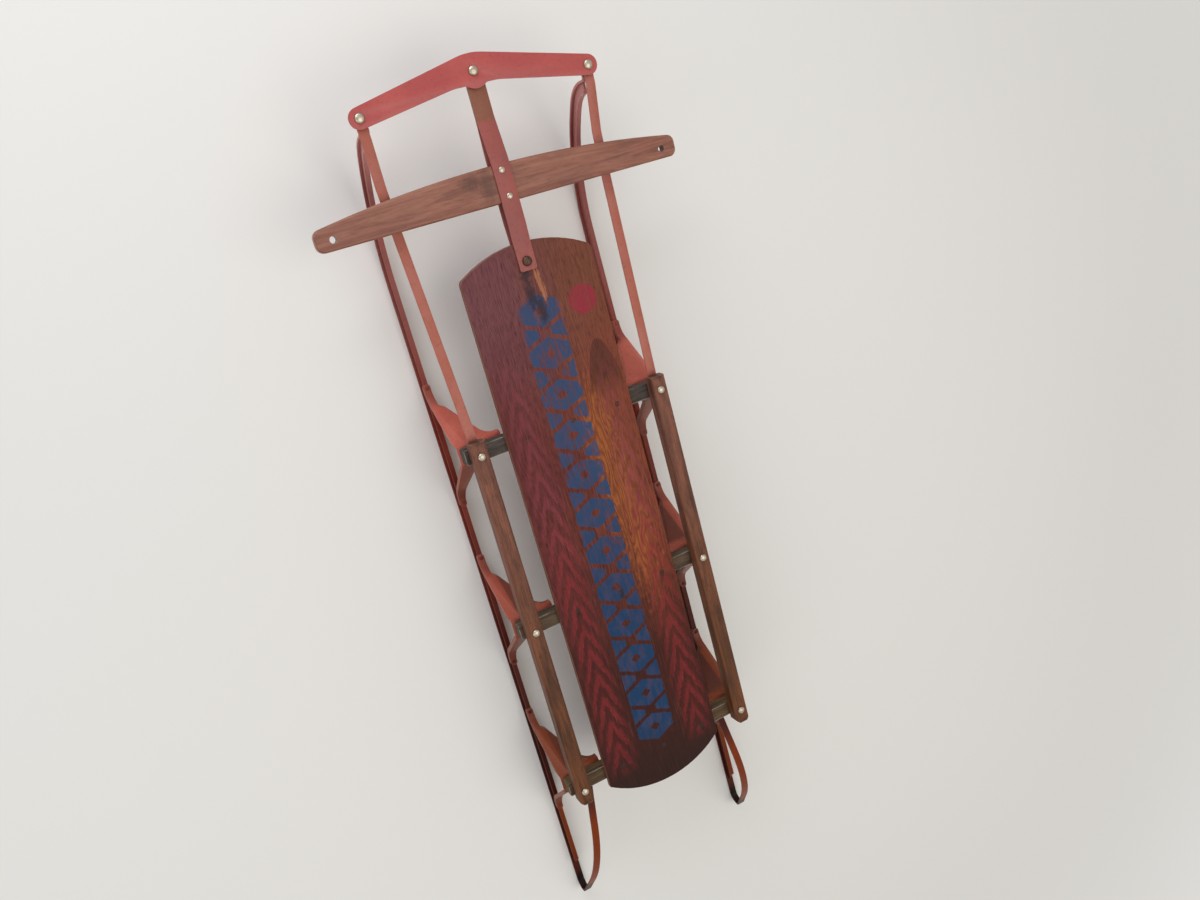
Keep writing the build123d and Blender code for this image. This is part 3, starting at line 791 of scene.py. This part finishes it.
def make_finishes() -> Finishes:
    """Builds the sled's finishes.

    Returns:
        The finishes.
    """
    knee = KneeEnamel(
        "pressed_steel_enamel", "#b8594a", "#c46654", rear="#863f22", worn_edge_and_highlight="#bd7c68", edge_mm=0.6, wear=0.4
    )
    runner = RunnerEnamel(
        "runner_enamel",
        "#8a3a2d",
        "#783026",
        rear="#471c15",
        worn_edge_and_highlight="#8e4a30",
        wear=0.5,
        edge_mm=0.5,
        chip_mm=3.4,
        shine=0.12,
    )
    screw = Enamel("stained_screw_steel", "#43231c", "#391c17", rear="#2c1813", worn_edge_and_highlight="#6a4234", rough=0.55)
    return Finishes(
        deck=StainedPly().build(),
        rail=make_rail(),
        bench=make_bench(),
        bar=make_bar(),
        knee=knee.build(),
        runner=runner.build(),
        strap=StrapEnamel("strap_enamel", "#a0554f", "#92504b", wear=0.5).build(),
        strut=Enamel("strut_enamel", "#a85d4c", "#ad6759", worn_edge_and_highlight="#d3a596", wear=0.7).build(),
        bumper=Enamel("bumper_enamel", "#ab4745", "#b44f4a", wear=0.35, chip_mm=2.0, shine=0.5).build(),
        nickel=Plated("dull_nickel_plate", "#b6ad9d", "#5f5344").build(),
        dark=Plated("browned_steel", "#5a463c", "#2e211b", rough=0.52).build(),
        screw=screw.build(),
    )


def to_object(bm: Mesh, name: str, material: Material, crease_deg: float = 35.0) -> Object:
    """Turns a bmesh into a shaded object at the origin.

    Args:
        bm: The mesh, in metres; it is freed.
        name: The piece's name.
        material: Its finish.
        crease_deg: Edges that turn more than this stay sharp.

    Returns:
        The new object.
    """
    for face in bm.faces:
        face.smooth = True
    for edge in bm.edges:
        edge.smooth = not edge.is_manifold or edge.calc_face_angle(0.0) < math.radians(crease_deg)
    mesh = bpy.data.meshes.new(name)
    bm.to_mesh(mesh)
    bm.free()
    mesh.materials.append(material)
    made = bpy.data.objects.new(name, mesh)
    bpy.context.scene.collection.objects.link(made)
    return made


def place_piece(piece: Object, body: str, slot: str, *stands_for: str) -> None:
    """Ties a new piece to the body that carries it.

    Args:
        piece: The new piece.
        body: The CAD body it rides on.
        slot: The record's material slot; not used here.
        stands_for: CAD nodes that it replaces.
    """
    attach(piece, body)
    if stands_for:
        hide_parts(*stands_for)
    LOG.info("%s: %d faces, on %s", piece.name, len(piece.data.polygons), body)


def lathe(bm: Mesh, profile: Sequence[tuple[float, float]], at: Vector, steps: int = 40) -> None:
    """Turns a profile about a standing axis.

    Args:
        bm: The mesh that takes the turned form.
        profile: Radius and height pairs in millimetres, from the top down.
        at: The axis's foot in millimetres.
        steps: Steps around.
    """
    line = [bm.verts.new((at + Vector((r, 0, z))) * MM) for r, z in profile]
    edges = [bm.edges.new(pair) for pair in zip(line, line[1:])]
    bmesh.ops.spin(
        bm,
        geom=line + edges,
        cent=at * MM,
        axis=(0, 0, 1),
        dvec=(0, 0, 0),
        angle=math.tau,
        steps=steps,
        use_merge=True,
        use_duplicate=False,
    )
    bmesh.ops.remove_doubles(bm, verts=bm.verts[:], dist=0.01 * MM)
    bmesh.ops.recalc_face_normals(bm, faces=bm.faces[:])


def dome(radius: float, height: float, base: float, steps: int = 9) -> list[tuple[float, float]]:
    """The profile of a round head, from its crown to its rim.

    Args:
        radius: Half the head's width in millimetres.
        height: Its height.
        base: The level it sits on.
        steps: Steps along the dome.

    Returns:
        Radius and height pairs.
    """
    rim = 0.16 * height
    undercut = 0.25
    bend = [math.radians(90 * i / steps) for i in range(steps + 1)]
    crown = [(radius * math.sin(a), base + rim + (height - rim) * math.cos(a)) for a in bend]
    return crown + [(radius - undercut, base)]


def round_edges(bm: Mesh, edges: list[Edge], reach_mm: float, segments: int) -> None:
    """Rounds some edges of a mesh.

    Args:
        bm: The mesh.
        edges: The edges.
        reach_mm: How far in the rounding starts.
        segments: Steps around.
    """
    bmesh.ops.bevel(
        bm,
        geom=edges,
        offset=reach_mm * MM,
        offset_type="OFFSET",
        affect="EDGES",
        segments=segments,
        profile=0.5,
        material=-1,
        clamp_overlap=True,
    )


def axis_of(node: str) -> tuple[Vector, float, float]:
    """Finds the standing axis of a round CAD node.

    Args:
        node: The CAD node.

    Returns:
        The axis's place on the floor, and the node's lowest and highest level, in millimetres.
    """
    low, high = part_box(node)
    at = Vector(((low.x + high.x) / 2 / MM, (low.y + high.y) / 2 / MM, 0))
    return at, low.z / MM, high.z / MM


@dataclass(frozen=True)
class BoltShape:
    """Sizes of a bolt: the head's radius and height, the shank's radius, the nut's width and thickness."""

    head_mm: tuple[float, float]
    shank_mm: float
    nut_mm: tuple[float, float]


@dataclass
class Fasteners:
    """Round-headed bolts, rivets and wood screws, turned finely where the CAD's are plain.

    A head or a tail is given by its radius and its height.
    """

    finishes: Finishes
    rail_bolt: BoltShape = BoltShape((5.4, 3.6), 3.0, (10.0, 5.0))
    king_bolt: BoltShape = BoltShape((6.4, 4.2), 4.0, (13.0, 6.0))
    bolt_end_mm: float = 2.0
    rivet_head_mm: tuple[float, float] = (6.1, 3.6)
    rivet_shank_mm: float = 3.5
    rivet_tail_mm: tuple[float, float] = (5.5, 2.0)
    bar_rivet_mm: tuple[float, float] = (4.2, 2.1)
    bar_rivets_at_mm: tuple[tuple[float, float, float], ...] = ((-0.5, 482.5, 134.0), (0.5, 449.5, 134.0))
    foot_rivet_mm: tuple[float, float] = (3.0, 1.3)
    foot_x_mm: float = 150.0
    foot_from_bench_mm: float = 86.0
    foot_top_mm: float = 18.6
    screw_mm: tuple[float, float] = (3.8, 0.7)
    slot_half_mm: float = 0.55
    slot_deep_mm: float = 0.5

    def hex_nut(self, bm: Mesh, size: tuple[float, float], at: Vector) -> None:
        """Adds a hexagon nut whose top face is at a place.

        Args:
            bm: The mesh.
            size: Width across flats and thickness.
            at: The centre of its upper face in millimetres.
        """
        across, thick = size
        reach = across / math.sqrt(3)
        lower = Matrix.Translation((at - Vector((0, 0, thick))) * MM)
        made = bmesh.ops.create_circle(bm, cap_ends=True, segments=6, radius=reach * MM, matrix=lower)
        ring = made["verts"]
        raised = bmesh.ops.extrude_face_region(bm, geom=[ring[0].link_faces[0]])["geom"]
        tops = [v for v in raised if isinstance(v, bmesh.types.BMVert)]
        bmesh.ops.translate(bm, verts=tops, vec=(0, 0, thick * MM))
        edges = dict.fromkeys(e for v in (*ring, *tops) for e in v.link_edges)
        bmesh.ops.recalc_face_normals(bm, faces=bm.faces[:])
        round_edges(bm, list(edges), 0.5, 2)

    def bolt(self, node: str, name: str, shape: BoltShape, finish: Material, slot: str) -> None:
        """Builds one bolt with its nut where a CAD node is.

        Args:
            node: The CAD node.
            name: The new piece's name.
            shape: Its sizes.
            finish: Its finish.
            slot: The record's material slot.
        """
        at, foot, top = axis_of(node)
        seat = top - shape.head_mm[1]
        shank, chamfer = shape.shank_mm, 0.5
        under = [(shank, seat), (shank, foot + chamfer), (shank - chamfer, foot), (0, foot)]
        bm = bmesh.new()
        lathe(bm, dome(*shape.head_mm, seat) + under, at)
        self.hex_nut(bm, shape.nut_mm, at + Vector((0, 0, foot + self.bolt_end_mm + shape.nut_mm[1])))
        place_piece(to_object(bm, name, finish), "frame", slot, node)

    def build(self) -> None:
        """Builds every bolt, rivet and screw."""
        f = self.finishes
        for row in ROWS:
            for side, _ in SIDES:
                node, name = f"rail_bolt_{row}_{side}", f"carriage_bolt_{row}_{side}"
                self.bolt(node, name, self.rail_bolt, f.nickel, "nickel_steel")
        self.bolt("king_bolt", "steering_pivot_bolt", self.king_bolt, f.dark, "dark_steel")
        for spot in ("centre", "left", "right"):
            self.rivet("rivet_" + spot, "bumper_rivet_" + spot)
        bar = self.small_rivets(self.bar_rivets_at_mm, self.bar_rivet_mm)
        place_piece(to_object(bar, "bar_rivets", f.nickel), "steering", "nickel_steel")
        feet = [
            (side * self.foot_x_mm, y + way * self.foot_from_bench_mm, self.foot_top_mm)
            for y in BENCH_Y_MM
            for _, side in SIDES
            for way in (-1, 1)
        ]
        foot = self.small_rivets(feet, self.foot_rivet_mm)
        place_piece(to_object(foot, "foot_rivets", f.runner), "frame", "runner_steel")
        self.screws()

    def rivet(self, node: str, name: str) -> None:
        """Builds one of the bumper's round-headed rivets."""
        at, foot, top = axis_of(node)
        seat = top - self.rivet_head_mm[1]
        tail, thick = self.rivet_tail_mm
        shank, high = self.rivet_shank_mm, foot + thick
        under = [(shank, seat), (shank, high), (tail - 0.4, high), (tail, high - 0.5)]
        under += [(tail - 0.7, foot), (0, foot)]
        bm = bmesh.new()
        lathe(bm, dome(*self.rivet_head_mm, seat) + under, at)
        place_piece(to_object(bm, name, self.finishes.nickel), "bumper", "nickel_steel", node)

    def small_rivets(self, places: Iterable[tuple[float, float, float]], size: tuple[float, float]) -> Mesh:
        """Builds a group of plain small rivet heads.

        Args:
            places: Where each head sits, in millimetres.
            size: Radius and height.

        Returns:
            Their mesh.
        """
        sunk = -0.2
        bm = bmesh.new()
        for place in places:
            lathe(bm, dome(*size, sunk, steps=6) + [(0, sunk)], Vector(place), steps=24)
        return bm

    def screw_head(self) -> Mesh:
        """Builds one slotted screw head at the origin.

        Returns:
            Its mesh.
        """
        sunk = -0.3
        within = 0.5 * MM
        head = bmesh.new()
        lathe(head, dome(*self.screw_mm, sunk, steps=5) + [(0, sunk)], Vector((0, 0, 0)), steps=28)
        for x in (-self.slot_half_mm, self.slot_half_mm):
            geom = head.verts[:] + head.edges[:] + head.faces[:]
            bmesh.ops.bisect_plane(head, geom=geom, plane_co=(x * MM, 0, 0), plane_no=(1, 0, 0))
        middles = [(face, face.calc_center_median()) for face in head.faces]
        slot = [face for face, middle in middles if abs(middle.x) < within and middle.z > 0]
        lowered = bmesh.ops.extrude_face_region(head, geom=slot)["geom"]
        bmesh.ops.delete(head, geom=slot, context="FACES")
        corners = [v for v in lowered if isinstance(v, bmesh.types.BMVert)]
        bmesh.ops.translate(head, verts=corners, vec=(0, 0, -self.slot_deep_mm * MM))
        return head

    def screws(self) -> None:
        """Builds the nine screws that hold the deck to the benches, each slot at its own angle."""
        bm = bmesh.new()
        for i, x in enumerate(SCREW_X_MM):
            for j, y in enumerate(BENCH_Y_MM):
                head = self.screw_head()
                turn = Matrix.Rotation(0.7 * i + 1.9 * j, 4, "Z")
                move = Matrix.Translation(Vector((x, y, DECK_TOP_MM)) * MM)
                bmesh.ops.transform(head, matrix=move @ turn, verts=head.verts[:])
                made = bpy.data.meshes.new("screw")
                head.to_mesh(made)
                head.free()
                bm.from_mesh(made)
                bpy.data.meshes.remove(made)
        place_piece(to_object(bm, "deck_screws", self.finishes.screw), "frame", "dark_steel")


def dress(names: Iterable[str], finish: Material) -> None:
    """Gives CAD nodes their finish.

    Args:
        names: Node names.
        finish: The material.
    """
    for name in names:
        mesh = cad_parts[name].data
        mesh.materials.clear()
        mesh.materials.append(finish)
        LOG.info("%s in %s", name, finish.name)


@dataclass
class SteelParts:
    """Pressed and strip steel, whose arrises and folds the press left slightly round.

    Edges count as folds or as arrises by the angle that they turn.
    """

    finishes: Finishes
    arris_mm: float = 0.5
    arris_deg: tuple[float, float] = (50.0, 181.0)
    fold_deg: tuple[float, float] = (20.0, 30.0)
    fold_longer_mm: float = 20.0
    knee_fold_mm: float = 4.0

    def turning(self, bm: Mesh, between_deg: tuple[float, float], longer_mm: float) -> list[Edge]:
        """Finds the edges that turn by some angle.

        Args:
            bm: The mesh.
            between_deg: The least and the greatest turn.
            longer_mm: Edges up to this length are left out.

        Returns:
            The edges.
        """
        low, high = (math.radians(angle) for angle in between_deg)
        closed = [e for e in bm.edges if e.is_manifold and e.calc_length() > longer_mm * MM]
        return [e for e in closed if low < e.calc_face_angle(0.0) < high]

    def rounded(
        self, node: str, name: str, body: str, slot: str, finish: Material, fold_mm: float = 0.0
    ) -> None:
        """Stands a copy with rounded arrises in place of a CAD node.

        Args:
            node: The CAD node.
            name: The new piece's name.
            body: The body it rides on.
            slot: The record's material slot.
            finish: Its finish.
            fold_mm: How far the rounding of a long shallow fold reaches, 0 where there is none.
        """
        bm = bmesh.new()
        bm.from_mesh(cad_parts[node].data)
        bmesh.ops.remove_doubles(bm, verts=bm.verts[:], dist=0.02 * MM)
        bmesh.ops.dissolve_limit(bm, angle_limit=math.radians(1), verts=bm.verts[:], edges=bm.edges[:])
        if fold_mm:
            round_edges(bm, self.turning(bm, self.fold_deg, self.fold_longer_mm), fold_mm, 5)
        round_edges(bm, self.turning(bm, self.arris_deg, 0.0), self.arris_mm, 2)
        place_piece(to_object(bm, name, finish, crease_deg=40), body, slot, node)

    def build(self) -> None:
        """Builds the knees, the straps, the struts and the bumper, and dresses the runners."""
        f = self.finishes
        for row in ROWS:
            for side, _ in SIDES:
                node, name = f"knee_{row}_{side}", f"pressed_knee_{row}_{side}"
                self.rounded(node, name, "frame", "knee_steel", f.knee, self.knee_fold_mm)
        dress(["runner_left", "runner_right"], f.runner)
        self.rounded("bumper", "stamped_bumper", "bumper", "bumper_steel", f.bumper)
        for side, _ in SIDES:
            self.rounded("strut_" + side, f"side_strap_{side}", "strut_" + side, "bumper_steel", f.strut)
        for level in ("upper", "lower"):
            self.rounded(level + "_strap", "centre_strap_" + level, "steering", "strap_steel", f.strap)


@dataclass
class Woodwork:
    """Deck, rails, benches and steering bar, whose CAD shapes stand."""

    finishes: Finishes

    def build(self) -> None:
        """Dresses the wood."""
        f = self.finishes
        dress(["deck"], f.deck)
        dress(["rail_left", "rail_right"], f.rail)
        dress(["bench_" + row for row in ROWS], f.bench)
        dress(["steering_bar"], f.bar)


@dataclass(frozen=True)
class Lamp:
    """One square soft lamp that faces the sled. Its place and its side are in metres."""

    name: str
    place_m: tuple[float, float, float]
    side_m: float
    watts: float
    tone: str

    def hang(self) -> None:
        """Hangs the lamp."""
        light = bpy.data.lights.new(self.name, "AREA")
        light.size = self.side_m
        light.energy = self.watts
        light.color = linear(self.tone)[:3]
        lamp = bpy.data.objects.new(self.name, light)
        bpy.context.scene.collection.objects.link(lamp)
        place, aim = Vector(self.place_m), Vector((0, 0, 0.05))
        face = (aim - place).to_track_quat("-Z", "Y").to_matrix().to_4x4()
        lamp.matrix_world = Matrix.Translation(place) @ face


@dataclass
class Studio:
    """Floor, lamps and the camera at the photograph's viewing angle."""

    eye_mm: tuple[float, float, float] = (-448.97, 472.13, 1363.17)
    aim_mm: tuple[float, float, float] = (40.72, 82.53, 100.0)
    roll_deg: float = 110.21
    lens_mm: float = 30.0
    sensor_mm: float = 36.0
    sight_m: float = 100.0
    floor_m: float = 60.0
    sky_tone: str = "#f2f4f6"
    sky_strength: float = 0.45
    lamps: tuple[Lamp, ...] = (
        Lamp("window", (-0.7, 2.3, 1.0), 1.7, 30.0, "#f4f8ff"),
        Lamp("ceiling", (0.5, -0.4, 2.8), 2.4, 32.0, "#fff8ee"),
        Lamp("fill", (-2.2, -0.6, 1.4), 1.4, 8.0, "#ffffff"),
    )

    def camera(self) -> None:
        """Places the camera."""
        lens = bpy.data.cameras.new("camera")
        lens.lens = self.lens_mm
        lens.sensor_width = self.sensor_mm
        lens.clip_end = self.sight_m
        eye = bpy.data.objects.new("camera", lens)
        bpy.context.scene.collection.objects.link(eye)
        look = Vector(self.aim_mm) - Vector(self.eye_mm)
        turn = look.to_track_quat("-Z", "Y").to_matrix().to_4x4()
        roll = Matrix.Rotation(math.radians(self.roll_deg), 4, "Z")
        eye.matrix_world = Matrix.Translation(Vector(self.eye_mm) * MM) @ turn @ roll
        bpy.context.scene.camera = eye

    def sky(self) -> None:
        """Lights everything dimly from all round, and shows the plain pale backdrop."""
        world = bpy.data.worlds.new("sky")
        bpy.context.scene.world = world
        world.use_nodes = True
        nodes = Nodes(world.node_tree)
        light = nodes.tree.nodes["Background"]
        light.inputs["Color"].default_value = linear(self.sky_tone)
        light.inputs["Strength"].default_value = self.sky_strength
        backdrop = nodes.add("ShaderNodeBackground", {"Color": linear(Floor().backdrop)})
        ends = {0: nodes.seen(), 1: light.outputs[0], 2: backdrop.outputs[0]}
        both = nodes.add("ShaderNodeMixShader", ends)
        nodes.tree.links.new(both.outputs[0], nodes.tree.nodes["World Output"].inputs["Surface"])

    def build(self) -> None:
        """Builds the floor, the sky, the lamps and the camera."""
        bm = bmesh.new()
        bmesh.ops.create_grid(bm, x_segments=1, y_segments=1, size=self.floor_m / 2)
        floor = to_object(bm, "floor", Floor().build())
        self.sky()
        for lamp in self.lamps:
            lamp.hang()
        self.camera()
        bpy.context.scene.view_settings.view_transform = "Standard"


def main() -> None:
    """Builds the looks in order."""
    Studio().build()
    finishes = make_finishes()
    for part in (Woodwork(finishes), SteelParts(finishes), Fasteners(finishes)):
        LOG.info("building %s", type(part).__name__)
        part.build()


if __name__ == "__main__":
    main()
